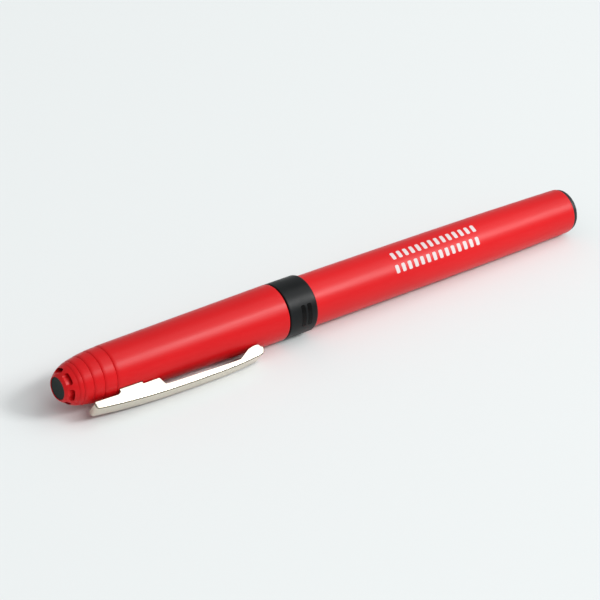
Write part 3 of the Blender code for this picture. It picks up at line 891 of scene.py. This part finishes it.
def wrapped_bar(name, start, end, middle, height, corner, radius_at, thickness):
    """A thin bar with round corners on the pen's surface.

    Its height is a length round the pen, about a middle angle that runs from -Y towards +Z.
    """
    columns, rows, sunk = 24, 6, -0.03
    grid = []
    for i in range(columns + 1):
        share = (1 - math.cos(math.pi * i / columns)) / 2
        x = start + (end - start) * share
        inset = max(0.0, corner - min(x - start, end - x))
        half = height / 2 - corner + math.sqrt(max(0.0, corner**2 - inset**2))
        half = max(half, 0.1 * height)
        grid.append([(x, half * (2 * j / rows - 1)) for j in range(rows + 1)])
    verts = []
    for lift in (sunk, thickness):
        for line in grid:
            for x, across in line:
                radius = radius_at(x)
                angle = middle + across / radius
                r = radius + lift
                verts.append((x, -r * math.cos(angle), r * math.sin(angle)))
    wide = rows + 1
    layer = wide * (columns + 1)
    faces = []
    for i in range(columns):
        for j in range(rows):
            a = i * wide + j
            quad = (a, a + 1, a + wide + 1, a + wide)
            faces += [quad[::-1], tuple(v + layer for v in quad)]
    border = list(range(rows)) + [i * wide + rows for i in range(columns)]
    border += [columns * wide + j for j in range(rows, 0, -1)]
    border += [i * wide for i in range(columns, 0, -1)]
    for a, b in zip(border, border[1:] + border[:1]):
        faces.append((a, b, b + layer, a + layer))
    return mesh_piece(name, verts, faces, FLAT_SHARP_ANGLE)


def barrel_radius(station):
    """The barrel's outside radius at a station."""
    places, radii = zip((BARREL_START, BARREL_RADIUS), *BARREL_TAPER)
    return float(np.interp(station, places, radii))


def make_print():
    """Two rows of equal plain blocks in place of the printed lines."""
    rows = ((84.9, 71.5), (84.4, 39.5))  # first station and angle of each row
    blocks, pitch, length, height = 14, 1.75, 0.95, 1.85
    corner, thickness = 0.3, 0.012
    pieces = []
    for row, (start, angle) in enumerate(rows):
        middle = math.radians(angle)
        for block in range(blocks):
            x = start + pitch * block
            name = f"print_block_{row + 1}_{block + 1:02d}"
            pieces.append(
                wrapped_bar(name, x, x + length, middle, height, corner, barrel_radius, thickness)
            )
    return pieces


def make_collar_marks():
    """Two plain raised bars that run round the collar."""
    starts, middle = (57.8, 59.4), math.radians(12)
    length, height, corner, thickness = 1.0, 5.0, 0.35, 0.05

    def collar_radius(station):
        return COLLAR_RADIUS

    pieces = []
    for k, start in enumerate(starts):
        name, end = f"collar_bar_{k + 1}", start + length
        pieces.append(
            wrapped_bar(name, start, end, middle, height, corner, collar_radius, thickness)
        )
    return pieces


# ---------------------------------------------------------------- the pen

shell = make_cap_shell()
cut_clip_slots(shell)
place(shell, LOOKS["cap"], "cap", "cap_red", "cap_shell")
place(make_crown_disc(), LOOKS["disc"], "cap", "crown_disc", "crown_plug")
place(make_liner(), LOOKS["liner"], "cap_liner", "liner_white", "inner_cap")
clip_looks = (LOOKS["clip"], LOOKS["inside_painted_light"], LOOKS["bend_painted_reflection"])
place(make_clip(), clip_looks, "clip", "clip_nickel", "clip")
place(make_barrel(), LOOKS["barrel"], "pen", "barrel_red", "barrel")
place(make_end_plug(), LOOKS["end"], "pen", "end_black", "end_plug")
place(make_section(), LOOKS["black"], "pen", "section_black", "section")
place(make_grip_sleeve(), LOOKS["grip"], "pen", "grip_rubber", "grip_sleeve")
place(make_nose_cone(), LOOKS["black"], "pen", "section_black", "nose_cone")
place(make_tip_holder(), LOOKS["holder"], "pen", "section_black", "tip_holder")
place(make_point(), LOOKS["point"], "pen", "point_nickel", "point")
place(make_ball(), LOOKS["ball"], "ball", "ball_carbide", "ball")
for dash in make_print():
    place(dash, LOOKS["ink"], "pen", "barrel_red")
for bar in make_collar_marks():
    place(bar, LOOKS["mark"], "pen", "grip_rubber")

# Plain rods, pads and films inside the pen keep their CAD meshes and only take a look
KEPT_NODES = {
    "point_seal": "seal",
    "feed_wick": "wick",
    "reservoir_fibre": "reservoir",
    "reservoir_sleeve": "film",
}
for node, look in KEPT_NODES.items():
    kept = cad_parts[node]
    kept.data.materials.clear()
    kept.data.materials.append(LOOKS[look])


# ---------------------------------------------------------------- floor, camera and light


def make_floor():
    """A pale sheet that touches the collar and the barrel's end, on which the pen lies."""
    (first, first_height), (second, second_height) = (
        (58.5, -COLLAR_RADIUS), (BARREL_END, -BARREL_END_RADIUS),
    )
    slope = (second_height - first_height) / (second - first)
    reach, cells, clearance = 3000.0, 12, 0.02
    verts, faces = [], []
    for i in range(cells + 1):
        for j in range(cells + 1):
            x, y = (2 * i / cells - 1) * reach, (2 * j / cells - 1) * reach
            verts.append((x, y, first_height + slope * (x - first) - clearance))
    for i in range(cells):
        for j in range(cells):
            a = i * (cells + 1) + j
            faces.append((a, a + cells + 1, a + cells + 2, a + 1))
    floor = mesh_piece("floor", verts, faces)
    look = Look("floor_paper", (0.775, 0.802, 0.8), 0.7, Specular_IOR_Level=0.0)
    look.bump([(look.noise(400, 4), 0.05, 0.05)])
    floor.data.materials.append(look.material)


def make_camera():
    """The camera that was fitted to the pen's outline in the photograph."""
    distance = 637.9
    azimuth, elevation, roll = math.radians(-41.0), math.radians(33.07), math.radians(5.96)
    aim = Vector((62.09, 0.345, 0.48))
    level = math.cos(elevation)
    away = Vector((math.sin(azimuth) * level, -math.cos(azimuth) * level, math.sin(elevation)))
    data = bpy.data.cameras.new("camera")
    data.lens = 180.0
    data.sensor_width = 36.0
    data.clip_start = 0.01
    data.clip_end = 20.0
    camera = bpy.data.objects.new("camera", data)
    camera.location = (aim + away * distance) * MM
    camera.rotation_mode = "QUATERNION"
    camera.rotation_quaternion = (-away).to_track_quat("-Z", "Y") @ Quaternion((0, 0, 1), roll)
    bpy.context.scene.collection.objects.link(camera)
    bpy.context.scene.camera = camera


def softbox(name, direction, distance, size, radiance):
    """A white area light that faces the pen's middle and is equally bright at any size."""
    middle = Vector((0.065, 0.0, 0.0))
    data = bpy.data.lights.new(name, "AREA")
    data.shape = "RECTANGLE"
    data.size, data.size_y = size
    data.energy = radiance * math.pi * size[0] * size[1]
    light = bpy.data.objects.new(name, data)
    toward = Vector(direction).normalized()
    light.location = middle + toward * distance
    light.rotation_mode = "QUATERNION"
    light.rotation_quaternion = (-toward).to_track_quat("-Z", "Y")
    bpy.context.scene.collection.objects.link(light)


def make_light():
    """A key light from the right, a long strip over the pen, a wide fill, and a pale studio."""
    softbox("key_light", (0.549, -0.555, 0.625), 3.0, (0.95, 0.95), 14.5)
    softbox("strip_light", (0.1, -0.66, 0.74), 3.0, (2.6, 0.35), 9.0)
    softbox("top_light", (0.549, -0.2, 0.812), 3.0, (2.2, 2.2), 1.45)
    world = bpy.data.worlds.new("studio")
    world.use_nodes = True
    tree = world.node_tree
    background = tree.nodes["Background"]
    background.inputs["Color"].default_value = (0.97, 0.99, 1.0, 1)
    direction = tree.nodes.new("ShaderNodeTexCoord")
    parts = tree.nodes.new("ShaderNodeSeparateXYZ")
    tree.links.new(direction.outputs["Generated"], parts.inputs["Vector"])
    strength = map_range(tree, parts.outputs["Z"], (0.0, 0.5, 0.4, 0.5))
    tree.links.new(strength, background.inputs["Strength"])
    bpy.context.scene.world = world
    bpy.context.scene.view_settings.view_transform = "Standard"


make_floor()
make_camera()
make_light()
